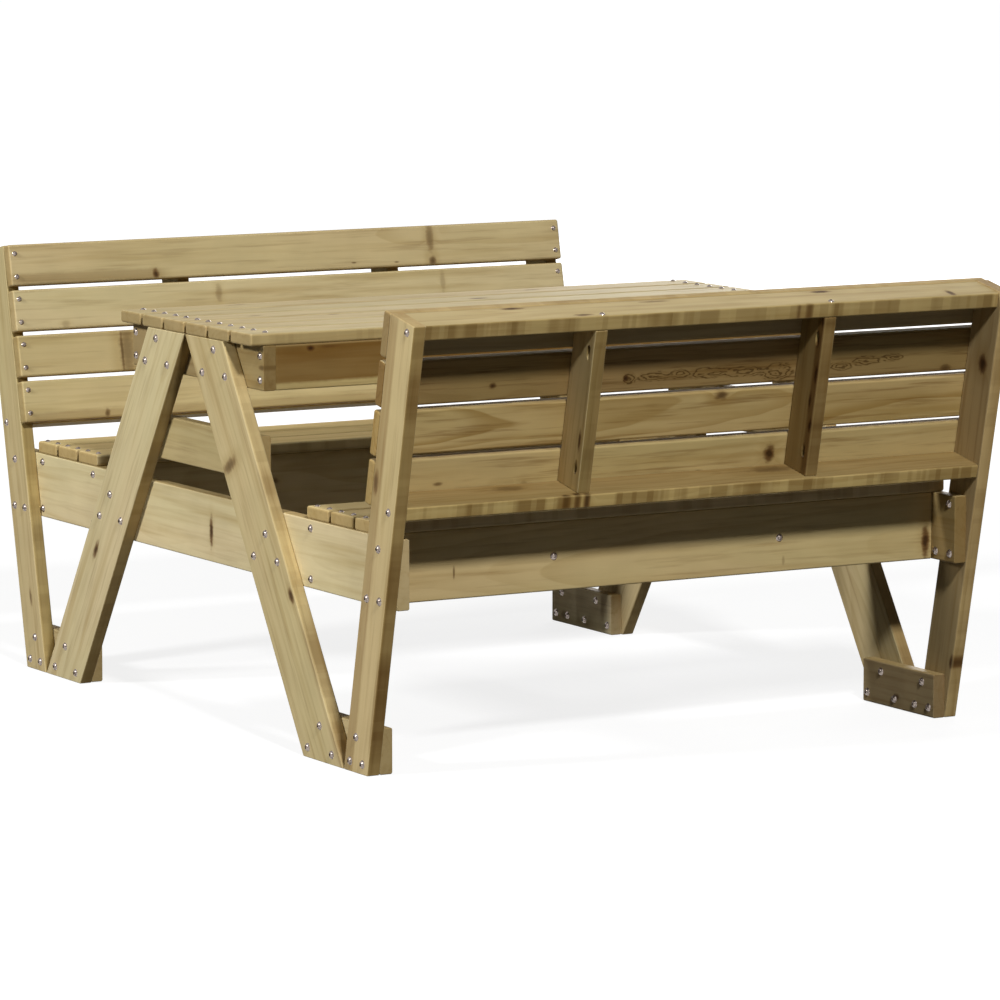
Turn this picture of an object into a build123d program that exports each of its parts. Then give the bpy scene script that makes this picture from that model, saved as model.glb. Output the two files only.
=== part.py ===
from build123d import *
import os
from math import acos, asin, atan2, cos, hypot, radians, sin, tan

# A picnic table for children with a bench and a backrest on each long side.
# Millimetres and degrees. X runs along the benches, Y across from bench to bench, Z up.
# The origin is on the floor in the middle. Left is -X, right +X, near -Y, far +Y.

# Whole object
overall_length = 880.0      # over the outer faces of legs and posts
leg_reach = 428.0           # from the middle to the outer corner of a leg's foot
seat_height = 314.0         # floor to the top of the seats
table_rise = 207.0          # top of the seats to the top of the table

# Boards
board_thickness = 18.0
narrow_board = 58.0         # foot plates, ties, crossbeams and table aprons
wide_board = 88.0           # cross rails, seat aprons and seat braces
leg_width = 90.0
post_width = 60.0
slat_width = 57.5
slat_thickness = 16.0
slat_gap = 5.6
slat_round = 3.5            # rounding along the slats
edge_round = 2.5            # rounding along the other boards
end_ease = 0.8              # chamfer round the sawn ends

# Table and end frames
table_slat_count = 6
beam_setback = 0.5          # crossbeams, in from the edges of the table
rail_setback = 0.4          # cross rails, in from the posts' rear edges at the rails' lower edges
tie_place = 0.349           # share of the free height that lies under the tie
tie_setback = 9.9           # tie ends, in from the outer edges of the legs
plate_setback = 3.3         # foot plates, in from the inner corners of the legs
leg_gap = 1.0               # between the two legs of an A at the top
foot_gap = 0.5              # between a leg's foot and its post's foot
post_lean = 12.0            # degrees outward

# Benches
seat_slat_count = 3
seat_post_gap = 8.0         # rear edge of the seat to the posts
apron_setback = 2.3         # aprons, in from the edges of the seat
brace_place = 168.0         # middle of a seat brace, from the middle of the bench

# Backrests, with sizes measured along the posts and behind their front edges
back_slat_count = 4
back_rise = 23.3            # top of the seat to the lowest slat
post_tip = 0.9              # posts stand this far above the top slat
top_rail_thickness = 20.0
top_rail_depth = 52.0
top_rail_drop = 0.6         # top rail, down from the top edge of the top slat
lower_rail_thickness = 18.0
lower_rail_depth = 58.0
lower_rail_drop = 1.7       # lower rail, down from the lower edge of the lowest slat
stile_depth = 52.0
stile_place = 168.0         # middle of a stile, from the middle of the bench

# Connector bolts and the sleeve nuts that take them from the other side
bolt_diameter = 6.0
bolt_head_diameter = 11.0
bolt_head_height = 3.4
bolt_socket = 4.0           # across the flats
bolt_socket_depth = 1.8
sleeve_diameter = 8.0
sleeve_length = 14.0
sleeve_web = 4.0            # solid stretch under a sleeve nut's head
bolt_tip_gap = 2.0          # left free at the bottom of a sleeve
thread_clearance = 0.1
bolt_edge = 13.0            # rows of bolts, in from the edges of the narrow boards
leg_bolt_rows = 32.0        # height between the two rows where a leg crosses a rail
leg_bolt_spread = 63.7
post_bolt_spread = 32.0

# Screws with domed heads
joint_screw_diameter = 5.0
joint_screw_length = 60.0
joint_head_diameter = 10.5
joint_head_height = 3.2
joint_screw_edge = 11.8     # end screws, in from the edges of the wide boards
apron_screw_edge = 13.5     # end screws, in from the edges of the table aprons
rail_screw_edge = 6.6       # end screws of the back rails, in from the top rail's rear edge
head_gap = 0.5              # between a screw head and the post beside it
slat_screw_diameter = 4.0
slat_head_diameter = 7.5
slat_head_height = 2.4
slat_socket = 2.6
slat_socket_depth = 1.2
slat_screw_spread = 32.0
slat_bite = 7.0             # length of the table's and seats' screws below their slats
back_bite = 24.0            # length of the backrests' screws behind their slats
tie_bite = 12.0
tie_screw_spread = 30.0
stile_screw_edge = 5.2      # top rail's screws, in from its rear edge
stile_bite = 20.0
screw_point = 4.0           # length of a screw's point
hole_clearance = 0.1        # round every shank
hole_depth_clearance = 0.4  # past every tip

# Slanting screws sunk in pockets in the sides of the stiles
pocket_place = 31.0         # from the end of the stile
pocket_depth = 40.0         # behind the front edges of the posts
pocket_slant = 24.0         # degrees between the screw and the stile
pocket_seat = 9.0           # from the stile's side to under the head, along the screw
pocket_bite = 12.0          # length of the screw beyond the stile
pocket_clearance = 0.2      # round the head

# Places that follow from the sizes above
end_x = overall_length / 2
lap_x = end_x - board_thickness
inner_x = lap_x - board_thickness
inner_board_x = (lap_x + inner_x) / 2
outer_board_x = (end_x + lap_x) / 2
seat_under = seat_height - slat_thickness
table_top = seat_height + table_rise
table_under = table_top - slat_thickness
rail_z = seat_under - wide_board / 2
beam_z = table_under - narrow_board / 2
plate_z = narrow_board / 2
slat_pitch = slat_width + slat_gap
slat_end_round = 0.8 * slat_round

tie_room = beam_z - narrow_board / 2 - seat_under
tie_z = seat_under + tie_place * (tie_room - narrow_board) + narrow_board / 2

leg_run = leg_reach - leg_gap / 2
leg_lean = acos(leg_width / hypot(leg_run, table_under)) - atan2(table_under, leg_run)
leg_span = leg_width / cos(leg_lean)

lean = radians(post_lean)
post_foot = leg_reach + foot_gap
post_span = post_width / cos(lean)

crossbeam_length = table_slat_count * slat_pitch - slat_gap - 2 * beam_setback
table_apron_y = (crossbeam_length - board_thickness) / 2


def leg_axis(z):
    return leg_reach - z * tan(leg_lean) - leg_span / 2


def post_front(z):
    return post_foot + z * tan(lean)


def post_axis(z):
    return post_front(z) + post_span / 2


seat_rear = post_front(seat_under) - seat_post_gap
seat_front = seat_rear - seat_slat_count * slat_pitch + slat_gap
front_apron_y = seat_front + apron_setback + board_thickness / 2
rear_apron_y = seat_rear - apron_setback - board_thickness / 2

back_low = seat_height / cos(lean) + back_rise
back_high = back_low + back_slat_count * slat_pitch - slat_gap
post_high = back_high + post_tip
top_rail_s = back_high - top_rail_drop - top_rail_thickness / 2
lower_rail_s = back_low - lower_rail_drop + lower_rail_thickness / 2
stile_high = top_rail_s - top_rail_thickness / 2
stile_low = lower_rail_s + lower_rail_thickness / 2

sides = {"left": -1, "right": 1}
benches = {"near": -1, "far": 1}
corners = [(sx, sy) for sx in sides.values() for sy in benches.values()]


# A point of a backrest: s along the post from its foot, t outward from its front edge
def on_back(s, t, x, sy):
    return (x, sy * (post_foot + s * sin(lean) + t * cos(lean)), s * cos(lean) - t * sin(lean))


def up_back(sy):
    return (0, sy * sin(lean), cos(lean))


def out_back(sy):
    return (0, sy * cos(lean), -sin(lean))


# Boards
def plank(length, width, thickness):
    section = Plane.YZ * RectangleRounded(width, thickness, edge_round)
    board = extrude(section, amount=length / 2, both=True)
    ends = board.faces().filter_by(Axis.X)
    return chamfer(ends.edges(), end_ease)


def board_along_x(length, width, thickness, y, z):
    return Plane((0, y, z), x_dir=(1, 0, 0), z_dir=(0, -1, 0)).location * plank(length, width, thickness)


def board_along_y(length, width, x, y, z):
    return Plane((x, y, z), x_dir=(0, 1, 0), z_dir=(1, 0, 0)).location * plank(length, width, board_thickness)


def slat(length):
    section = Plane.YZ * RectangleRounded(slat_width, slat_thickness, slat_round)
    board = extrude(section, amount=length / 2, both=True)
    ends = board.faces().filter_by(Axis.X)
    return fillet(ends.edges(), slat_end_round)


def flat_slat(length, y, top):
    seat = Plane((0, y, top - slat_thickness / 2), x_dir=(1, 0, 0), z_dir=(0, 0, 1))
    return seat.location * slat(length)


# A board that stands at a slant in an end frame, with its foot sawn level
def slanted_board(width, middle, along, length, high):
    stand = Plane(middle, x_dir=along, z_dir=(1, 0, 0))
    blank = stand.location * plank(length, width, board_thickness)
    room = Pos(middle[0], middle[1], high / 2) * Box(board_thickness * 2, length * 2, high)
    board = blank & room
    sawn = board.faces().filter_by(Axis.Z)
    return chamfer(sawn.edges(), end_ease)


def leg(sx, sy):
    middle = (sx * outer_board_x, sy * leg_axis(table_under / 2), table_under / 2)
    along = (0, -sy * sin(leg_lean), cos(leg_lean))
    length = table_under / cos(leg_lean) + 2 * leg_width
    return slanted_board(leg_width, middle, along, length, table_under)


def post(sx, sy):
    spare = post_width
    length = post_high + spare
    middle = on_back(post_high - length / 2, post_width / 2, sx * outer_board_x, sy)
    return slanted_board(post_width, middle, up_back(sy), length, 2 * post_high)


def foot_plate(sx, sy):
    inner = leg_reach - leg_span + plate_setback
    outer = post_foot + post_span
    middle = sy * (inner + outer) / 2
    return board_along_y(outer - inner, narrow_board, sx * inner_board_x, middle, plate_z)


def cross_rail(sx):
    reach = post_front(rail_z - wide_board / 2) + post_span - rail_setback
    return board_along_y(2 * reach, wide_board, sx * inner_board_x, 0, rail_z)


def leg_tie(sx):
    top_edge = tie_z + narrow_board / 2
    reach = leg_axis(top_edge) + leg_span / 2 - tie_setback
    return board_along_y(2 * reach, narrow_board, sx * inner_board_x, 0, tie_z)


def seat_brace(sx, sy):
    length = rear_apron_y - front_apron_y - board_thickness
    middle = sy * (front_apron_y + rear_apron_y) / 2
    return board_along_y(length, wide_board, sx * brace_place, middle, rail_z)


def back_slat(k, sy):
    middle = on_back(back_low + k * slat_pitch + slat_width / 2, -slat_thickness / 2, 0, sy)
    seat = Plane(middle, x_dir=(1, 0, 0), z_dir=out_back(sy))
    return seat.location * slat(overall_length)


def back_rail(s, thickness, depth, sy):
    seat = Plane(on_back(s, depth / 2, 0, sy), x_dir=(1, 0, 0), z_dir=up_back(sy))
    return seat.location * plank(2 * lap_x, depth, thickness)


def back_stile(sx, sy):
    middle = on_back((stile_low + stile_high) / 2, stile_depth / 2, sx * stile_place, sy)
    stand = Plane(middle, x_dir=up_back(sy), z_dir=(1, 0, 0))
    return stand.location * plank(stile_high - stile_low, stile_depth, board_thickness)


def table_slat_y(k):
    return (k - (table_slat_count - 1) / 2) * slat_pitch


def seat_slat_y(k):
    return seat_front + k * slat_pitch + slat_width / 2


def all_boards():
    boards = {}
    for k in range(table_slat_count):
        boards[f"table_slat_{k + 1}"] = flat_slat(overall_length, table_slat_y(k), table_top)
    for side, sx in sides.items():
        boards[f"table_crossbeam_{side}"] = board_along_y(
            crossbeam_length, narrow_board, sx * inner_board_x, 0, beam_z)
        boards[f"cross_rail_{side}"] = cross_rail(sx)
        boards[f"leg_tie_{side}"] = leg_tie(sx)
        for bench, sy in benches.items():
            boards[f"leg_{side}_{bench}"] = leg(sx, sy)
            boards[f"post_{side}_{bench}"] = post(sx, sy)
            boards[f"foot_plate_{side}_{bench}"] = foot_plate(sx, sy)
            boards[f"seat_brace_{bench}_{side}"] = seat_brace(sx, sy)
            boards[f"back_stile_{bench}_{side}"] = back_stile(sx, sy)
    for bench, sy in benches.items():
        boards[f"table_apron_{bench}"] = board_along_x(
            2 * inner_x, narrow_board, board_thickness, sy * table_apron_y, beam_z)
        boards[f"seat_front_apron_{bench}"] = board_along_x(
            2 * inner_x, wide_board, board_thickness, sy * front_apron_y, rail_z)
        boards[f"seat_rear_apron_{bench}"] = board_along_x(
            2 * inner_x, wide_board, board_thickness, sy * rear_apron_y, rail_z)
        for k in range(seat_slat_count):
            boards[f"seat_slat_{bench}_{k + 1}"] = flat_slat(2 * lap_x, sy * seat_slat_y(k), seat_height)
        for k in range(back_slat_count):
            boards[f"back_slat_{bench}_{k + 1}"] = back_slat(k, sy)
        boards[f"back_top_rail_{bench}"] = back_rail(top_rail_s, top_rail_thickness, top_rail_depth, sy)
        boards[f"back_lower_rail_{bench}"] = back_rail(
            lower_rail_s, lower_rail_thickness, lower_rail_depth, sy)
    return boards


# Fasteners, each with the underside of its head at the origin and its shank along +Z
def domed_shank(head_diameter, head_height, shank):
    radius = head_diameter / 2
    ball = (radius ** 2 + head_height ** 2) / (2 * head_height)
    half_turn = asin(radius / ball) / 2
    crown = (0, 0, -head_height)
    shoulder = (ball * sin(half_turn), 0, ball - head_height - ball * cos(half_turn))
    dome = ThreePointArc(crown, shoulder, (radius, 0, 0))
    outline = Polyline((radius, 0, 0), *shank, crown)
    return revolve(make_face([dome, outline]), Axis.Z)


def socket(flats, depth, head_height):
    hexagon = RegularPolygon(flats / 2, 6, major_radius=False)
    return Pos(0, 0, -head_height) * extrude(hexagon, amount=depth, both=True)


def frame_bolt(length):
    r = bolt_diameter / 2
    shank = [(r, 0, 0), (r, 0, length), (0, 0, length)]
    bolt = domed_shank(bolt_head_diameter, bolt_head_height, shank)
    return bolt - socket(bolt_socket, bolt_socket_depth, bolt_head_height)


def sleeve_nut(length):
    outer = sleeve_diameter / 2
    bore = bolt_diameter / 2 + thread_clearance
    shank = [(outer, 0, 0), (outer, 0, length), (bore, 0, length), (bore, 0, sleeve_web), (0, 0, sleeve_web)]
    nut = domed_shank(bolt_head_diameter, bolt_head_height, shank)
    return nut - socket(bolt_socket, bolt_socket_depth, bolt_head_height)


def pointed(diameter, length):
    r = diameter / 2
    return [(r, 0, 0), (r, 0, length - screw_point), (0, 0, length)]


def joint_screw(length):
    screw = domed_shank(joint_head_diameter, joint_head_height, pointed(joint_screw_diameter, length))
    return screw - socket(bolt_socket, bolt_socket_depth, joint_head_height)


def slat_screw(length):
    screw = domed_shank(slat_head_diameter, slat_head_height, pointed(slat_screw_diameter, length))
    return screw - socket(slat_socket, slat_socket_depth, slat_head_height)


def hole(diameter, length):
    bore = diameter / 2 + hole_clearance
    return Cylinder(bore, length + hole_depth_clearance, align=(Align.CENTER, Align.CENTER, Align.MIN))


def pocket_hole(length):
    mouth = slat_head_diameter / 2 + pocket_clearance
    room = Cylinder(mouth, length, align=(Align.CENTER, Align.CENTER, Align.MAX))
    return room + hole(slat_screw_diameter, length)


# Bolt places of one corner, as (y, z): a triangle of one bolt over two
def triangle(axis_y, low, high, spread, top_y):
    return [(axis_y - spread / 2, low), (axis_y + spread / 2, low), (top_y, high)]


def bolt_places():
    places = []
    for low, high in (
        (beam_z - narrow_board / 2 + bolt_edge, beam_z + narrow_board / 2 - bolt_edge),
        (rail_z - leg_bolt_rows / 2, rail_z + leg_bolt_rows / 2),
        (plate_z - narrow_board / 2 + bolt_edge, plate_z + narrow_board / 2 - bolt_edge),
    ):
        places += triangle(leg_axis(low), low, high, leg_bolt_spread, leg_axis(low))
    foot_low = bolt_edge
    foot_high = narrow_board - bolt_edge
    places += triangle(post_axis(foot_low), foot_low, foot_high, post_bolt_spread, post_axis(foot_low))
    rail_low = rail_z - wide_board / 2 + joint_screw_edge
    rail_high = rail_z + wide_board / 2 - joint_screw_edge
    places += triangle(post_axis(rail_low), rail_low, rail_high, post_bolt_spread, post_axis(rail_high))
    return places


def bolts():
    return [((sx * end_x, sy * y, z), (-sx, 0, 0)) for sx, sy in corners for y, z in bolt_places()]


def sleeves():
    return [((sx * inner_x, sy * y, z), (sx, 0, 0)) for sx, sy in corners for y, z in bolt_places()]


def joint_screws():
    low = rail_z - wide_board / 2 + joint_screw_edge
    high = rail_z + wide_board / 2 - joint_screw_edge
    head_reach = (joint_head_diameter / 2 + head_gap) / cos(lean)
    rear_screw_y = min(rear_apron_y, post_front(low) - head_reach)
    beam_rows = (beam_z - narrow_board / 2 + apron_screw_edge, beam_z + narrow_board / 2 - apron_screw_edge)
    rail_screw_t = top_rail_depth - rail_screw_edge
    places = []
    for sx, sy in corners:
        inward = (-sx, 0, 0)
        places += [((sx * lap_x, sy * table_apron_y, z), inward) for z in beam_rows]
        places += [((sx * lap_x, sy * y, z), inward) for y in (front_apron_y, rear_screw_y) for z in (low, high)]
        places += [(on_back(s, rail_screw_t, sx * end_x, sy), inward) for s in (top_rail_s, lower_rail_s)]
        front_face = front_apron_y - board_thickness / 2
        rear_face = rear_apron_y + board_thickness / 2
        places.append(((sx * brace_place, sy * front_face, rail_z), (0, sy, 0)))
        places.append(((sx * brace_place, sy * rear_face, rail_z), (0, -sy, 0)))
    return places


def either_side(spread):
    return (-spread / 2, spread / 2)


# Slat screws, as a list of their length and their places for each kind
def slat_screws():
    flat = []
    back = []
    tie = []
    stile = []
    for sx in sides.values():
        for d in either_side(slat_screw_spread):
            for k in range(table_slat_count):
                flat.append(((sx * inner_board_x, table_slat_y(k) + d, table_top), (0, 0, -1)))
            for sy in benches.values():
                for k in range(seat_slat_count):
                    flat.append(((sx * inner_board_x, sy * (seat_slat_y(k) + d), seat_height), (0, 0, -1)))
                for k in range(back_slat_count):
                    s = back_low + k * slat_pitch + slat_width / 2 + d
                    back.append((on_back(s, -slat_thickness, sx * outer_board_x, sy), out_back(sy)))
        for sy in benches.values():
            for d in either_side(tie_screw_spread):
                tie.append(((sx * inner_x, sy * (leg_axis(tie_z) + d), tie_z), (sx, 0, 0)))
            rail_face = top_rail_s + top_rail_thickness / 2
            down = tuple(-c for c in up_back(sy))
            stile.append((on_back(rail_face, top_rail_depth - stile_screw_edge, sx * stile_place, sy), down))
    return [
        (slat_thickness + slat_bite, flat),
        (slat_thickness + back_bite, back),
        (board_thickness + tie_bite, tie),
        (top_rail_thickness + stile_bite, stile),
    ]


# Pocket screws start from the stile's left side on the near bench and from its right side on the far one
def pocket_screws():
    slant = radians(pocket_slant)
    places = []
    for sx in sides.values():
        for sy in benches.values():
            face_x = sx * stile_place + sy * board_thickness / 2
            for end, way in ((stile_low, -1), (stile_high, 1)):
                s = end - way * pocket_place + way * pocket_seat * cos(slant)
                head = on_back(s, pocket_depth, face_x - sy * pocket_seat * sin(slant), sy)
                up = up_back(sy)
                into = (-sy * sin(slant), way * up[1] * cos(slant), way * up[2] * cos(slant))
                places.append((head, into))
    return places


pocket_screw_length = pocket_place / cos(radians(pocket_slant)) - pocket_seat + pocket_bite


def set_at(shape, places):
    return [Plane(point, z_dir=direction).location * shape for point, direction in places]


def drilled(board, holes):
    box = board.bounding_box()
    near = []
    for bore in holes:
        other = bore.bounding_box()
        apart = any(
            low > high_other or low_other > high
            for low, high, low_other, high_other in zip(box.min, box.max, other.min, other.max)
        )
        if not apart:
            near.append(bore)
    return board - near if near else board


bolt_length = 2 * board_thickness - sleeve_web - bolt_tip_gap
slat_places = slat_screws()
pocket_places = pocket_screws()

groups = {
    "frame_bolts": set_at(frame_bolt(bolt_length), bolts()),
    "frame_sleeve_nuts": set_at(sleeve_nut(sleeve_length), sleeves()),
    "joint_screws": set_at(joint_screw(joint_screw_length), joint_screws()),
    "slat_screws": set_at(slat_screw(pocket_screw_length), pocket_places),
}
holes = set_at(hole(bolt_diameter, bolt_length), bolts())
holes += set_at(hole(sleeve_diameter, sleeve_length), sleeves())
holes += set_at(hole(joint_screw_diameter, joint_screw_length), joint_screws())
holes += set_at(pocket_hole(pocket_screw_length), pocket_places)
for length, places in slat_places:
    groups["slat_screws"] += set_at(slat_screw(length), places)
    holes += set_at(hole(slat_screw_diameter, length), places)

os.makedirs("parts", exist_ok=True)
for name, board in all_boards().items():
    export_step(drilled(board, holes), f"parts/{name}.step")
for name, solids in groups.items():
    export_step(Compound(solids), f"parts/{name}.step")
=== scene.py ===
import math
import random

import bpy
from mathutils import Matrix, Vector


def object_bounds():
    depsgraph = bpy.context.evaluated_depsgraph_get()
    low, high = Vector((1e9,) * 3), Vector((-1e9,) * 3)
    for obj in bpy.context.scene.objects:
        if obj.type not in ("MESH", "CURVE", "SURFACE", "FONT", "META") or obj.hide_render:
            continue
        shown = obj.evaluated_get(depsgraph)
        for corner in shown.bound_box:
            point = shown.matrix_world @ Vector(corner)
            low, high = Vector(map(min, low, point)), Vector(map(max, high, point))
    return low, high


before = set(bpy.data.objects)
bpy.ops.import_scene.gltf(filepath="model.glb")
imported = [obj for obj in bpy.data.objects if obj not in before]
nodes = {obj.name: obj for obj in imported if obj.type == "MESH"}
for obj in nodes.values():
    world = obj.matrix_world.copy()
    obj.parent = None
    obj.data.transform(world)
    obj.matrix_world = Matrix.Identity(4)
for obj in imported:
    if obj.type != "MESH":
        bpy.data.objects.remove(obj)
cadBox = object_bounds()
fasteners = ("frame_bolts", "frame_sleeve_nuts", "joint_screws", "slat_screws")
mmPerMetre = 1000
print("frame loaded:", len(nodes), "nodes")


def srgb(r, g, b):
    # 0 to 255 screen values to the linear colour that a shader takes
    parts = [c / 255 for c in (r, g, b)]
    return tuple(c / 12.92 if c <= 0.04045 else ((c + 0.055) / 1.055) ** 2.4 for c in parts) + (1.0,)


# Shader graph

class Wire:
    # one output socket, with the sums that the materials use
    def __init__(self, graph, socket):
        self.graph = graph
        self.socket = socket

    def sum(self, operation, a, b):
        return self.graph.add("ShaderNodeMath", {"operation": operation}, {0: a, 1: b})

    def __add__(self, other):
        return self.sum("ADD", self, other)

    def __radd__(self, other):
        return self.sum("ADD", other, self)

    def __sub__(self, other):
        return self.sum("SUBTRACT", self, other)

    def __rsub__(self, other):
        return self.sum("SUBTRACT", other, self)

    def __mul__(self, other):
        return self.sum("MULTIPLY", self, other)

    def __rmul__(self, other):
        return self.sum("MULTIPLY", other, self)

    def __truediv__(self, other):
        return self.sum("DIVIDE", self, other)

    def __rtruediv__(self, other):
        return self.sum("DIVIDE", other, self)

    def __pow__(self, other):
        return self.sum("POWER", self, other)

    def __rpow__(self, other):
        return self.sum("POWER", other, self)


class Graph:
    def __init__(self, tree):
        self.tree = tree
        tree.nodes.clear()

    def add(self, kind, settings=None, sockets=None, out=0):
        node = self.tree.nodes.new(kind)
        for name, value in (settings or {}).items():
            setattr(node, name, value)
        for key, value in (sockets or {}).items():
            if isinstance(value, Wire):
                self.tree.links.new(value.socket, node.inputs[key])
            else:
                node.inputs[key].default_value = value
        return Wire(self, node.outputs[out]) if node.outputs else None

    def fold(self, operation, a):
        return self.add("ShaderNodeMath", {"operation": operation}, {0: a})

    def root(self, a):
        return self.fold("SQRT", a)

    def size(self, a):
        return self.fold("ABSOLUTE", a)

    def largest(self, a, b):
        return self.add("ShaderNodeMath", {"operation": "MAXIMUM"}, {0: a, 1: b})

    def step(self, a, low, high):
        # smooth step, 0 at low and 1 at high
        return self.add("ShaderNodeMapRange", {"interpolation_type": "SMOOTHSTEP"},
                        {"Value": a, "From Min": low, "From Max": high})

    def mix(self, share, a, b, blend="MIX"):
        # colours only; the Mix node keeps its colour sockets at 6 and 7
        return self.add("ShaderNodeMix", {"data_type": "RGBA", "blend_type": blend},
                        {0: share, 6: a, 7: b}, out=2)

    def dot(self, a, direction):
        return self.add("ShaderNodeVectorMath", {"operation": "DOT_PRODUCT"}, {0: a, 1: direction}, out="Value")

    def point(self, x, y, z):
        return self.add("ShaderNodeCombineXYZ", {}, {0: x, 1: y, 2: z})

    def noise(self, place, detail=2.0, rough=0.5, scale=1.0):
        return self.add("ShaderNodeTexNoise", {},
                        {"Vector": place, "Scale": scale, "Detail": detail, "Roughness": rough})

    def place(self):
        return self.add("ShaderNodeTexCoord", out="Object")

    def end(self, shader):
        self.add("ShaderNodeOutputMaterial", {}, {"Surface": shader})


def newMaterial(name):
    mat = bpy.data.materials.new(name)
    mat.use_nodes = True
    return mat, Graph(mat.node_tree)


# Boards: axes and sizes are read from each node's own faces
boardFaces = {
    "parallel": 0.999,      # cosine from which two faces count as one direction
    "square": 0.01,         # cosine up to which they count as square to each other
}


def boardFrame(node):
    areas = []
    for face in sorted(nodes[node].data.polygons, key=lambda face: -face.area):
        for entry in areas:
            if abs(entry[0].dot(face.normal)) > boardFaces["parallel"]:
                entry[1] += face.area
                break
        else:
            areas.append([face.normal.copy(), face.area])
    areas.sort(key=lambda entry: -entry[1])
    through = areas[0][0]
    across = next(n for n, area in areas[1:] if abs(n.dot(through)) < boardFaces["square"])
    axes = []
    for axis in (across.cross(through), across, through):
        leading = max(axis, key=abs)
        axes.append((axis if leading > 0 else -axis).normalized())
    low = [min(v.co.dot(axis) for v in nodes[node].data.vertices) for axis in axes]
    high = [max(v.co.dot(axis) for v in nodes[node].data.vertices) for axis in axes]
    middle = [(a + b) / 2 for a, b in zip(low, high)]
    half = [(b - a) / 2 for a, b in zip(low, high)]
    return axes, middle, half


# Pine, impregnated. Lengths are millimetres on the board: u along it, v across it, w through it.
# Pairs are where a mark starts to show and where it shows fully
pine = {
    "early": srgb(205, 190, 149),       # spring wood
    "late": srgb(158, 132, 80),         # summer wood
    "olive": srgb(181, 171, 120),       # where the salt took
    "tan": srgb(197, 175, 132),
    "heart": srgb(120, 88, 44),         # heartwood
    "knot": srgb(96, 64, 34),
    "knotCore": srgb(46, 29, 16),
    "endGrain": srgb(156, 131, 84),
    "block": srgb(120, 94, 52),         # darker lengths along sawn edges
    "oliveFrom": (0.35, 0.7),
    "earlyShow": 0.5,
    "bandFrom": (0.45, 0.85),
    "bandShow": 0.55,
    "tingeFrom": (0.5, 0.75),
    "blotchShow": 0.2,
    "fibreShow": 0.15,
    "roughness": 0.6,
    "fibreRough": 0.2,
    "lateRough": 0.06,
    "specular": 0.06,
    "bumpStrength": 0.2,
    "bumpDepth": 0.0005,                # metres
    "bumpShares": (0.5, 0.35, 0.2),     # fibre, late wood, bands
}

# Noise in the wood: stretch is cycles per millimetre along u, v and w, own says on which of them the
# board's own offset shifts it
patterns = {
    "sway": {"stretch": (0.0035, 0.006, 0), "own": (1, 0, 1), "detail": 1.0},       # the trunk wanders
    "swell": {"stretch": (0.008, 0.03, 0.03), "own": (0, 1, 0), "detail": 2.0},
    "ragged": {"stretch": (0.11, 0.19, 0), "own": (0, 0, 1), "detail": 2.0},
    "band": {"stretch": (0.0035, 0.07, 0.07), "own": (1, 0, 0), "detail": 2.0, "lift": 3.1},
    "cast": {"stretch": (0.0026, 0.012, 0.02), "own": (0, 0, 1), "detail": 1.0},
    "blotch": {"stretch": (0.016, 0.022, 0.03), "own": (1, 0, 0), "detail": 2.0},
    "fibre": {"stretch": (0.018, 1.3, 1.3), "own": (0, 0, 1), "detail": 3.0, "rough": 0.6},
    "tinge": {"stretch": (0.007, 0.15, 0.15), "own": (0, 1, 0), "detail": 3.0, "rough": 0.6},
    "curl": {"stretch": (0.05, 0.16, 0), "own": (1, 0, 1), "detail": 2.0},
}

rings = {
    "width": 6.5,
    "swayAcross": 26,
    "swayThrough": 34,
    "swell": 6,
    "darken": (0.1, 0.92),              # late wood, as a share of the ring
    "stop": (1.0, 0.9),
    "yearStep": 3.7,                    # between years in the noise that makes some fainter
    "yearLayer": 0.5,
    "yearFrom": (0.3, 0.75),
}

knotShape = {
    "wobble": 0.8,
    "reach": (3.5, 0.4),                # how far the rings swerve, in knot radii
    "push": 0.6,
    "rim": (1.35, 0.6),
    "core": (0.8, 0.2),
    "halo": (0.3, 5.0),
    "haloShow": 0.3,
    "rimShow": 0.9,
    "coreShow": 0.85,
}

streakShape = {"sway": 6, "ragged": 2, "soft": 3, "fade": 20, "ground": 0.75, "banded": 0.5}

whorl = {
    "curl": 1.3,
    "rise": 0.8,
    "riseFrom": (1.7, 0.0),
    "near": (1.5, 1.1),
    "ragged": 0.6,
    "lines": 2.6,
    "line": (0.3, 0.1),
    "broken": (0.3, 0.5),
    "lineShow": 0.8,
    "groundShow": 0.3,
}

sawnSides = {
    "facing": (0.6, 0.8),               # how squarely a face must look along an axis
    "lengthsAlong": 0.021,              # cycles per millimetre
    "lengthsLayer": 0.5,
    "sliversAlong": 0.075,
    "sliversLayer": 1.5,
    "across": 0.004,
    "lengths": (0.46, 0.53),
    "lengthsShow": 0.7,
    "slivers": (0.55, 0.6),
    "sliversShow": 0.4,
    "pale": (0.34, 0.28),
    "paleShow": 0.5,
    "endShow": 0.6,
    "wear": 3.5,                        # worn arris
    "wearShow": 0.35,
}

# What a board shows where boardLooks says nothing
stock = {
    "tone": (0.88, 1.0),
    "green": 0.98,
    "blue": (0.88, 0.95),
    # narrow sides darker and browner than the wide ones: edge tone together with painted shade
    "edge": (0.8, 0.73, 0.6),
    "pithAcross": (-25, 25),
    "pithThrough": (22, 60),
    "tilt": (-0.05, 0.05),
    "olive": (0.2, 0.75),
    "knotCounts": (0, 1, 1, 2),
    "knotRanges": ((-330, 330), (-24, 24), (6, 14), (3, 6), (0.5, 0.9)),
    "blocks": 0.25,
    "rings": 0.26,
    "brown": 0.3,
    "offset": (0, 900),
}
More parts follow.
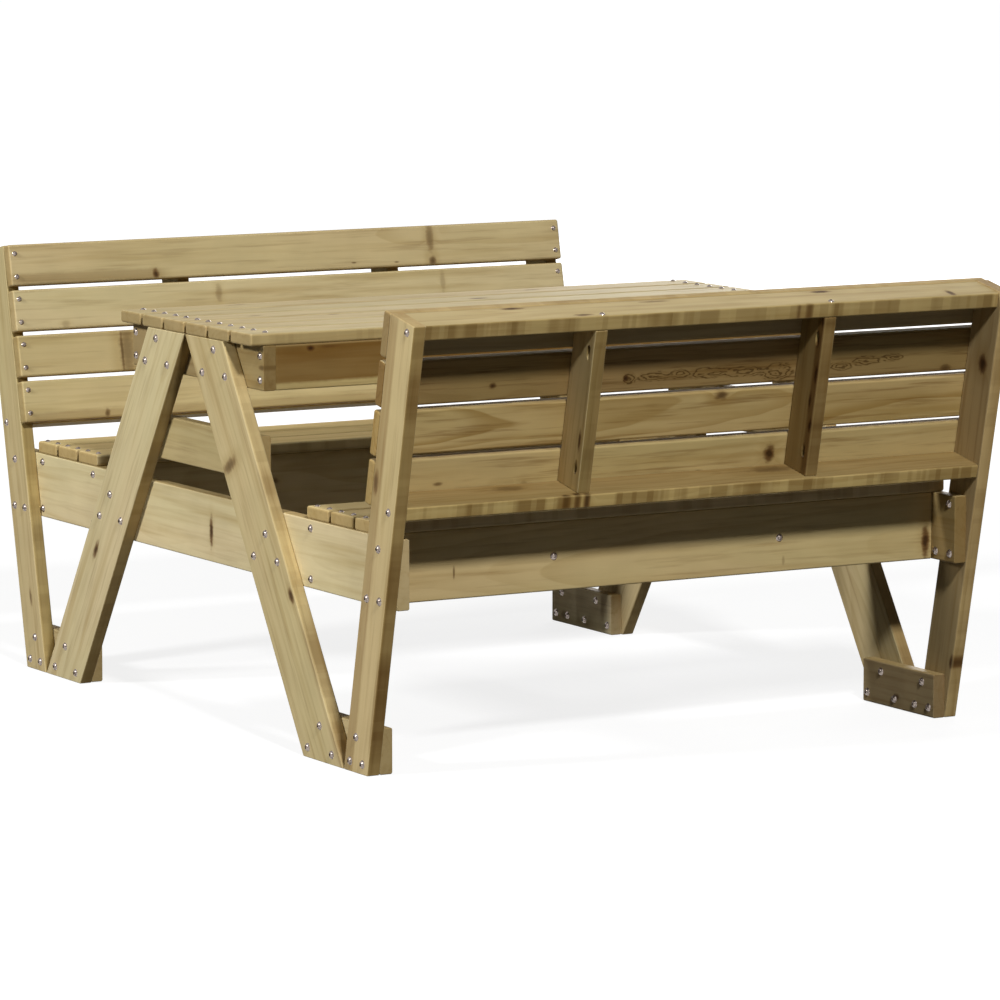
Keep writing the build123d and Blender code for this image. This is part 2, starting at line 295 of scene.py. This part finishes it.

# What single boards show. face and edge multiply the colour of the wide and the narrow sides;
# besides board tone they hold painted shade where a side lies in shadow, and some painted light,
# fitted per board to brightness. knots are (u, v, half length, half width, depth),
# streaks are brown lengths (from u, to u, v, half width, depth), eyes are whorls of wavy grain
# (u, v, half length, half width), blocks is how much the narrow edges change along the board
boardLooks = {
    "table_slat_1": {"face": (0.9, 0.89, 0.86), "edge": (0.9, 0.84, 0.7)},
    "table_slat_2": {"face": (0.88, 0.87, 0.84)},
    "table_slat_3": {"face": (0.86, 0.85, 0.81)},
    "table_slat_4": {"face": (0.88, 0.87, 0.83), "knots": [(-326, -7, 13, 3, 0.8)]},
    "table_slat_5": {"face": (0.85, 0.84, 0.8)},
    "table_slat_6": {"face": (0.87, 0.85, 0.8), "knots": [(-276, 12, 15, 2.6, 0.8), (174, 2, 13, 3, 0.75)]},
    "table_apron_near": {
        "face": (0.9, 0.86, 0.68),
        "knots": [(-354, 23, 6, 4, 0.95), (-326, 24, 18, 2, 0.4)],
        # the brown length over the upper part of the face is heartwood together with painted shade under the
        # table's overhang
        "streaks": [(-420, 420, 6, 26, 0.85)],
    },
    # face darkened: board tone together with painted shade under the table's overhang
    "table_crossbeam_left": {"face": (0.62, 0.56, 0.46), "edge": (0.66, 0.56, 0.38)},
    "back_slat_far_4": {
        "face": (1.0, 0.98, 0.91),
        "knots": [(224, 12, 6, 22, 0.5), (225, -23, 6, 7, 0.75), (-218, -21, 5, 7, 0.9),
                  (97, -20, 4, 1.3, 0.6), (166, -22, 4, 1.3, 0.6)],
        "streaks": [(-440, -205, -21, 8, 0.4)],
    },
    "back_slat_far_3": {
        "face": (1.08, 1.09, 1.06),
        "knots": [(-123, 10, 5, 13, 0.35), (238, 10, 4, 15, 0.25), (-364, -22, 6, 5, 0.25)],
    },
    "back_slat_far_2": {
        "face": (0.97, 0.95, 0.84),
        "knots": [(-274, 0, 11, 40, 0.5), (-282, 0, 2.6, 36, 0.7)],
    },
    "back_slat_far_1": {
        "face": (1.0, 1.0, 0.91),
        "knots": [(-314, -22, 4, 6, 0.7)],
        "streaks": [(-440, 440, -26, 9, 0.35)],
    },
    # face darkened: painted shade under the top rail
    "back_slat_near_4": {"face": (0.68, 0.64, 0.58)},
    "back_slat_near_3": {
        # face darkened and browned: brown board tone together with painted shade under the top rail
        "face": (0.52, 0.42, 0.29),
        "edge": (0.95, 0.95, 0.92),
        "rings": 0.5,
        "brown": 0.7,
        "knots": [(-285, -9, 5, 4, 0.85), (-93, -10, 4, 5, 0.9), (391, -24, 8, 5, 0.6)],
        "eyes": [(-88, -11, 8, 6), (-50, -10, 20, 5), (-14, -9, 12, 5), (30, -10, 26, 6), (80, -11, 24, 6),
                 (131, -14, 19, 9), (228, -12, 14, 5), (266, -7, 20, 5), (306, -5, 14, 4)],
    },
    "back_slat_near_2": {
        "face": (0.9, 0.81, 0.62),
        "rings": 0.75,
        "brown": 0.6,
        # the last two have no depth and only bend the grain
        "knots": [(52, 22, 10, 6, 0.75), (300, -8, 70, 9, 0.0), (-70, 6, 60, 6, 0.0)],
    },
    "back_slat_near_1": {
        "face": (0.9, 0.84, 0.67),
        "rings": 0.5,
        "brown": 0.5,
        "knots": [(135, 3, 8, 12, 0.95), (149, -20, 15, 6, 0.5), (-348, -6, 7, 2.5, 0.6),
                  (-225, -19, 6, 8, 0.5), (32, -15, 6, 2.5, 0.6)],
    },
    "back_top_rail_near": {
        "face": (0.78, 0.75, 0.66),
        "edge": (0.78, 0.7, 0.5),
        "knots": [(-273, 20, 15, 4, 0.9), (-194, -19, 13, 4, 0.7), (177, 19, 15, 4, 0.9),
                  (354, -14, 5, 11, 0.85), (134, -29, 6, 5, 0.85), (118, -29, 4, 4, 0.8),
                  (-70, 17, 20, 3, 0.5)],
        "blocks": 0.6,
    },
    "back_lower_rail_near": {
        # top face darkened: brown tone together with painted shade from the rails and slats around it
        "face": (0.6, 0.52, 0.38),
        "edge": (0.92, 0.82, 0.58),
        "knots": [(-180, -27, 5, 6, 0.85), (-196, -29, 6, 5, 0.9), (-166, -29, 5, 5, 0.85),
                  (130, 12, 34, 11, 0.5), (-255, 12, 22, 8, 0.45)],
        "blocks": 0.65,
    },
    "back_top_rail_far": {"blocks": 0.6},
    "back_lower_rail_far": {"blocks": 0.6},
    # narrow sides darkened: edge tone together with painted shade on the sides turned from the lamps
    "back_stile_near_left": {"face": (1.0, 0.95, 0.85), "edge": (0.52, 0.44, 0.29)},
    "back_stile_near_right": {
        "face": (0.5, 0.41, 0.29),
        "edge": (0.6, 0.52, 0.36),
        "knots": [(74, -16, 11, 4, 0.9), (30, -21, 14, 4, 0.8), (-8, -15, 12, 3, 0.8), (-38, -22, 10, 4, 0.9),
                  (-76, -14, 9, 4, 0.8), (98, -22, 7, 4, 0.8)],
        "streaks": [(-110, 110, -20, 7, 0.7)],
    },
    "leg_left_far": {
        "face": (1.1, 1.12, 1.15),
        # narrow sides darkened: edge tone together with painted shade on the sides turned from the lamps
        "edge": (0.6, 0.52, 0.38),
        "rings": 0.12,
        "knots": [(-82, 12, 15, 5, 0.95)],
    },
    "leg_left_near": {
        "face": (0.96, 0.95, 0.89),
        "edge": (0.92, 0.88, 0.76),
        "rings": 0.14,
        "knots": [(127, 24, 8, 20, 0.65), (-86, -37, 10, 6, 0.9)],
        "streaks": [(-330, -270, -44, 4, 0.6), (-215, -130, -44, 4, 0.45), (40, 90, -44, 4, 0.4)],
    },
    "leg_right_near": {"edge": (0.68, 0.58, 0.46)},
    "cross_rail_left": {
        "face": (1.18, 1.2, 1.24),
        "rings": 0.2,
        "brown": 0.15,
        "knots": [(-38, -4, 5, 20, 0.95)],
    },
    # inner face darkened: painted shade inside the end frame
    "cross_rail_right": {"face": (0.62, 0.54, 0.4)},
    "leg_tie_left": {"face": (0.88, 0.85, 0.76)},
    # face darkened: painted shade under the bench
    "foot_plate_right_near": {"face": (0.64, 0.58, 0.55)},
    # face lightened: painted light in the shade under the table
    "foot_plate_right_far": {"face": (1.25, 1.27, 1.4)},
    "seat_slat_near_1": {"face": (1.1, 1.06, 0.93)},
    "seat_slat_near_2": {"face": (1.06, 1.02, 0.9)},
    "seat_slat_near_3": {"face": (1.1, 1.06, 0.95), "edge": (1.0, 0.98, 0.96)},
    "seat_slat_far_1": {"face": (1.14, 1.1, 0.97), "edge": (0.95, 0.94, 0.88)},
    "seat_slat_far_2": {"face": (1.1, 1.06, 0.93)},
    "seat_slat_far_3": {"face": (1.14, 1.1, 0.98)},
    "post_left_near": {
        "face": (0.97, 0.93, 0.85),
        # narrow sides darkened: edge tone together with painted shade on the sides turned from the lamps
        "edge": (0.64, 0.54, 0.36),
        "rings": 0.14,
        "knots": [(82, 22, 15, 6, 0.7)],
        "streaks": [(-300, 300, 21, 12, 0.4), (-250, -130, -30, 4, 0.65), (-60, 10, -30, 4, 0.4),
                    (180, 240, -30, 4, 0.5)],
    },
    "post_left_far": {"face": (0.95, 0.93, 0.87), "edge": (0.73, 0.67, 0.49), "rings": 0.15},
    "post_right_near": {
        "face": (0.72, 0.65, 0.57),
        "edge": (0.88, 0.77, 0.6),
        "knots": [(195, -7, 13, 9, 0.95), (-207, -28, 9, 5, 0.9)],
    },
    "seat_rear_apron_near": {
        "face": (1.06, 0.99, 0.86),
        "knots": [(394, -20, 6, 22, 0.95), (-312, -10, 1.6, 8, 0.6), (174, -30, 2, 6, 0.3)],
    },
}


def defaultLook(seed):
    draw = random.Random(seed)
    tone = draw.uniform(*stock["tone"])
    return {
        "face": (tone, tone * stock["green"], tone * draw.uniform(*stock["blue"])),
        "edge": stock["edge"],
        "pith": (draw.uniform(*stock["pithAcross"]),
                 draw.choice((-1, 1)) * draw.uniform(*stock["pithThrough"])),
        "tilt": draw.uniform(*stock["tilt"]),
        "olive": draw.uniform(*stock["olive"]),
        "knots": [tuple(draw.uniform(*span) for span in stock["knotRanges"])
                  for k in range(draw.choice(stock["knotCounts"]))],
        "streaks": [],
        "eyes": [],
        "blocks": stock["blocks"],
        "rings": stock["rings"],
        "brown": stock["brown"],
        "offset": draw.uniform(*stock["offset"]),
    }


class Board:
    # one board's shader: its own axes, its look and the noise patterns that several marks share
    def __init__(self, node, look):
        self.axes, middle, self.half = boardFrame(node)
        self.look = look
        self.mat, self.g = newMaterial("pine_" + node)
        place = self.g.place()
        self.uvw = [(self.g.dot(place, tuple(axis)) - centre) * mmPerMetre
                    for axis, centre in zip(self.axes, middle)]
        self.u, self.v, self.w = self.uvw
        self.sway = self.pattern("sway") - 0.5
        self.swell = self.pattern("swell") - 0.5
        self.ragged = self.pattern("ragged") - 0.5
        self.band = self.pattern("band")
        self.fibre = self.pattern("fibre")
        self.tinge = self.pattern("tinge")

    def pattern(self, name):
        spec = patterns[name]
        place = []
        for axis, stretch, own in zip(self.uvw, spec["stretch"], spec["own"]):
            spread = axis * stretch if stretch else 0.0
            place.append(spread + self.look["offset"] if own else spread)
        if "lift" in spec:
            place[2] = place[2] + spec["lift"]
        return self.g.noise(self.g.point(*place), detail=spec["detail"], rough=spec.get("rough", 0.5))

    def reach(self, u, v, length, width):
        # distance from a point on the face, 1 on an ellipse around it
        return self.g.root(((self.u - u) / length) ** 2 + ((self.v - v) / width) ** 2 + 0.0001)

    def knots(self):
        # how far the knots push the rings aside, and where their rims and cores are
        g = self.g
        push, rim, core = 0.0, 0.0, 0.0
        for u, v, length, width, depth in self.look["knots"]:
            reach = self.reach(u, v, length, width)
            wobble = reach + self.ragged * knotShape["wobble"]
            push = push + g.step(reach, *knotShape["reach"]) * (knotShape["push"] * min(length, width))
            rim = g.largest(rim, g.step(wobble, *knotShape["rim"]) * depth)
            core = g.largest(core, g.step(wobble, *knotShape["core"]) * depth ** 2)
        return push, rim, core

    def lateWood(self, push):
        g = self.g
        pithV, pithW = self.look["pith"]
        dv = self.v - (pithV + self.sway * rings["swayAcross"])
        dw = self.w - (pithW + self.u * self.look["tilt"] + self.sway * rings["swayThrough"])
        radius = g.root(dv * dv + dw * dw) + self.swell * rings["swell"] + push
        ring = radius / rings["width"] + self.look["offset"]
        phase = g.fold("FRACT", ring)
        count = g.fold("FLOOR", ring) * rings["yearStep"]
        year = g.noise(g.point(count, self.look["offset"], rings["yearLayer"]), detail=0.0)
        shown = g.step(phase, *rings["darken"]) * g.step(phase, *rings["stop"])
        return shown * g.step(year, *rings["yearFrom"])

    def streaked(self, wood):
        g = self.g
        soft, fade = streakShape["soft"], streakShape["fade"]
        for first, last, at, width, depth in self.look["streaks"]:
            away = g.size(self.v - at + self.sway * streakShape["sway"] + self.ragged * streakShape["ragged"])
            strip = g.step(away, width + soft, width - soft)
            span = g.step(self.u, first - fade, first + fade) * g.step(self.u, last + fade, last - fade)
            uneven = streakShape["ground"] + self.band * streakShape["banded"]
            wood = g.mix(strip * span * depth * uneven, wood, pine["heart"])
        return wood

    def whorled(self, wood):
        # wavy grain: contour lines of a field that rises at each eye
        g = self.g
        field = self.pattern("curl") * whorl["curl"]
        near = 0.0
        for eye in self.look["eyes"]:
            reach = self.reach(*eye)
            field = field + g.step(reach, *whorl["riseFrom"]) * whorl["rise"]
            near = g.largest(near, g.step(reach + self.ragged * whorl["ragged"], *whorl["near"]))
        line = g.step(g.size(g.fold("FRACT", field * whorl["lines"]) - 0.5), *whorl["line"])
        line = near * line * g.step(self.tinge, *whorl["broken"])
        wood = g.mix(line * whorl["lineShow"], wood, pine["knotCore"])
        return g.mix(near * whorl["groundShow"], wood, pine["late"])

    def facing(self, normal, axis):
        return self.g.step(self.g.size(self.g.dot(normal, tuple(axis))), *sawnSides["facing"])

    def rim(self, index):
        edge = self.half[index] * mmPerMetre
        return self.g.step(self.g.size(self.uvw[index]), edge - sawnSides["wear"], edge)

    def sawn(self, wood, normal, edge):
        # edges change along their length, ends drink more of the salt, worn arrises are paler
        g = self.g
        across = self.v * sawnSides["across"]
        own, show = self.look["offset"], self.look["blocks"]
        along = self.u * sawnSides["lengthsAlong"] + own
        lengths = g.noise(g.point(along, sawnSides["lengthsLayer"], across), detail=1.0)
        along = self.u * sawnSides["sliversAlong"] + own
        slivers = g.noise(g.point(along, sawnSides["sliversLayer"], across), detail=0.0)
        block = (g.step(lengths, *sawnSides["lengths"]) * sawnSides["lengthsShow"]
                 + g.step(slivers, *sawnSides["slivers"]) * sawnSides["sliversShow"])
        wood = g.mix(edge * block * show, wood, pine["block"])
        pale = g.step(slivers, *sawnSides["pale"])
        wood = g.mix(edge * pale * (show * sawnSides["paleShow"]), wood, pine["early"])
        wood = g.mix(self.facing(normal, self.axes[0]) * sawnSides["endShow"], wood, pine["endGrain"])
        return g.mix(self.rim(1) * self.rim(2) * sawnSides["wearShow"], wood, pine["early"])

    def material(self):
        g, look = self.g, self.look
        push, knotRim, knotCore = self.knots()
        late = self.lateWood(push)
        salt = g.step(self.pattern("cast"), *pine["oliveFrom"])
        ground = g.mix(salt * look["olive"], pine["tan"], pine["olive"])
        spring = g.mix(pine["earlyShow"], ground, pine["early"])
        wood = g.mix(late * look["rings"], spring, pine["late"])
        wood = g.mix(g.step(self.band, *pine["bandFrom"]) * pine["bandShow"], wood, pine["late"])
        wood = g.mix(g.step(self.tinge, *pine["tingeFrom"]) * look["brown"], wood, pine["heart"])
        wood = self.streaked(wood)
        if look["eyes"]:
            wood = self.whorled(wood)
        if look["knots"]:
            wood = g.mix(g.step(push, *knotShape["halo"]) * knotShape["haloShow"], wood, pine["late"])
            wood = g.mix(knotRim * knotShape["rimShow"], wood, pine["knot"])
            wood = g.mix(knotCore * knotShape["coreShow"], wood, pine["knotCore"])

        normal = g.add("ShaderNodeNewGeometry", out="Normal")
        edge = self.facing(normal, self.axes[1])
        wood = self.sawn(wood, normal, edge)
        grey = ((self.fibre - 0.5) * pine["fibreShow"]
                + (self.pattern("blotch") - 0.5) * pine["blotchShow"] + 1)
        shade = g.add("ShaderNodeCombineColor", {}, {0: grey, 1: grey, 2: grey})
        wood = g.mix(1.0, wood, shade, blend="MULTIPLY")
        # multiplies in the face and edge colours: board tone together with painted shade and painted light
        toneAndPaintedShade = g.mix(edge, look["face"] + (1.0,), look["edge"] + (1.0,))
        wood = g.mix(1.0, wood, toneAndPaintedShade, blend="MULTIPLY")

        ofFibre, ofLate, ofBand = pine["bumpShares"]
        height = self.fibre * ofFibre + late * ofLate + self.band * ofBand
        bump = g.add("ShaderNodeBump", {}, {"Strength": pine["bumpStrength"], "Distance": pine["bumpDepth"],
                                            "Height": height})
        rough = pine["roughness"] + (self.fibre - 0.5) * pine["fibreRough"] + late * pine["lateRough"]
        g.end(g.add("ShaderNodeBsdfPrincipled", {}, {"Base Color": wood, "Roughness": rough, "Normal": bump,
                                                     "Specular IOR Level": pine["specular"]}))
        return self.mat


def dress(node, mat):
    nodes[node].data.materials.clear()
    nodes[node].data.materials.append(mat)


def dressBoards():
    for index, node in enumerate(sorted(n for n in nodes if n not in fasteners)):
        look = defaultLook(index)
        look.update(boardLooks.get(node, {}))
        dress(node, Board(node, look).material())
    print("boards dressed")


dressBoards()

# Zinc plate on the bolts and screws
zinc = {
    "color": srgb(166, 154, 146),
    "dull": srgb(100, 89, 82),
    "dullFrom": (0.4, 0.68),
    "cloudScale": 420.0,
    "metallic": 0.9,
    "roughness": 0.26,
    "cloudRough": 0.2,
}


def zincMaterial():
    mat, g = newMaterial("zinc")
    cloud = g.noise(g.place(), detail=3.0, scale=zinc["cloudScale"])
    color = g.mix(g.step(cloud, *zinc["dullFrom"]), zinc["color"], zinc["dull"])
    rough = zinc["roughness"] + (cloud - 0.5) * zinc["cloudRough"]
    g.end(g.add("ShaderNodeBsdfPrincipled", {},
                {"Base Color": color, "Roughness": rough, "Metallic": zinc["metallic"]}))
    return mat


def dressFasteners():
    mat = zincMaterial()
    for node in fasteners:
        dress(node, mat)
    print("fasteners dressed")


dressFasteners()

# Floor and light. Lamps are given by azimuth and elevation of the way to them, 270 is in front;
# at level 1 a white face turned to the lamp is just white
studio = {
    "floorSize": 90.0,
    "floorDrop": 0.0004,
    "floorColor": srgb(86, 86, 86),         # what the object sees of it
    "floorPale": srgb(137, 137, 137),       # what the camera sees of it, under the white
    "whiteNear": srgb(234, 234, 234),
    "whiteFar": srgb(255, 255, 255),
    "whiteFrom": (1.8, 3.6),                # metres from the middle
    "sky": 0.055,
    "distance": 7.0,
    "lamps": {
        "left_softbox": {"azimuth": 180, "elevation": 28, "size": 0.9, "level": 0.74},
        "front_softbox": {"azimuth": 257, "elevation": 39.5, "size": 0.65, "level": 0.71},
        "back_fill": {"azimuth": 46, "elevation": 10, "size": 3.0, "level": 0.5},
    },
}


def whiteShare(g):
    # 1 for the camera, reflections and glass, 0 for the light that falls on the object
    seen, glossy, clear = [g.add("ShaderNodeLightPath", out=ray)
                           for ray in ("Is Camera Ray", "Is Glossy Ray", "Is Transmission Ray")]
    return g.largest(g.largest(seen, glossy), clear)


def layFloor():
    bpy.ops.object.select_all(action="DESELECT")
    bpy.ops.mesh.primitive_plane_add(size=studio["floorSize"], location=(0, 0, -studio["floorDrop"]))
    floor = bpy.context.object
    floor.name = "floor"
    bpy.ops.object.transform_apply(location=True, rotation=True, scale=True)
    mat, g = newMaterial("floor")
    away = g.add("ShaderNodeVectorMath", {"operation": "LENGTH"}, {0: g.place()}, out="Value")
    white = g.mix(g.step(away, *studio["whiteFrom"]), studio["whiteNear"], studio["whiteFar"])
    glow = g.add("ShaderNodeEmission", {}, {"Color": white})
    pale = g.add("ShaderNodeBsdfDiffuse", {}, {"Color": studio["floorPale"]})
    shown = g.add("ShaderNodeAddShader", {}, {0: pale, 1: glow})
    ground = g.add("ShaderNodeBsdfDiffuse", {}, {"Color": studio["floorColor"]})
    g.end(g.add("ShaderNodeMixShader", {}, {0: whiteShare(g), 1: ground, 2: shown}))
    floor.data.materials.append(mat)


def lightWorld():
    world = bpy.data.worlds.new("studio")
    bpy.context.scene.world = world
    world.use_nodes = True
    g = Graph(world.node_tree)
    sky = g.add("ShaderNodeBackground", {}, {"Strength": studio["sky"]})
    white = g.add("ShaderNodeBackground", {}, {"Strength": 1.0})
    shown = g.add("ShaderNodeMixShader", {}, {0: whiteShare(g), 1: sky, 2: white})
    g.add("ShaderNodeOutputWorld", {}, {"Surface": shown})


def hangLamps():
    middle = (Vector(cadBox[0]) + Vector(cadBox[1])) / 2
    for name, spec in studio["lamps"].items():
        turn, lift = math.radians(spec["azimuth"]), math.radians(spec["elevation"])
        toward = Vector((math.cos(turn) * math.cos(lift), math.sin(turn) * math.cos(lift), math.sin(lift)))
        data = bpy.data.lights.new(name, "AREA")
        data.size = spec["size"]
        data.energy = spec["level"] * (math.pi * studio["distance"]) ** 2
        lamp = bpy.data.objects.new(name, data)
        lamp.location = middle + toward * studio["distance"]
        lamp.rotation_euler = toward.to_track_quat("Z", "Y").to_euler()
        bpy.context.scene.collection.objects.link(lamp)


# The camera looks at target from the near left, slightly down
camera = {
    "azimuth": -30.0612,
    "elevation": 7.4846,
    "distance": 7.481617,
    "target": (0.03279, 0.0, 0.256929),
    "lens": 200.387,
    "sensor": 36.0,
    "clipEnd": 200.0,
}


def setCamera():
    data = bpy.data.cameras.new("camera")
    data.lens = camera["lens"]
    data.sensor_width = camera["sensor"]
    data.clip_end = camera["clipEnd"]
    eye = bpy.data.objects.new("camera", data)
    turn = (Matrix.Rotation(math.radians(camera["azimuth"]), 4, "Z")
            @ Matrix.Rotation(math.radians(90 - camera["elevation"]), 4, "X"))
    back = turn @ Vector((0, 0, 1))
    spot = Vector(camera["target"]) + back * camera["distance"]
    eye.matrix_world = Matrix.Translation(spot) @ turn
    bpy.context.scene.collection.objects.link(eye)
    bpy.context.scene.camera = eye


layFloor()
lightWorld()
hangLamps()
setCamera()
bpy.context.scene.view_settings.view_transform = "Standard"
print("studio ready")
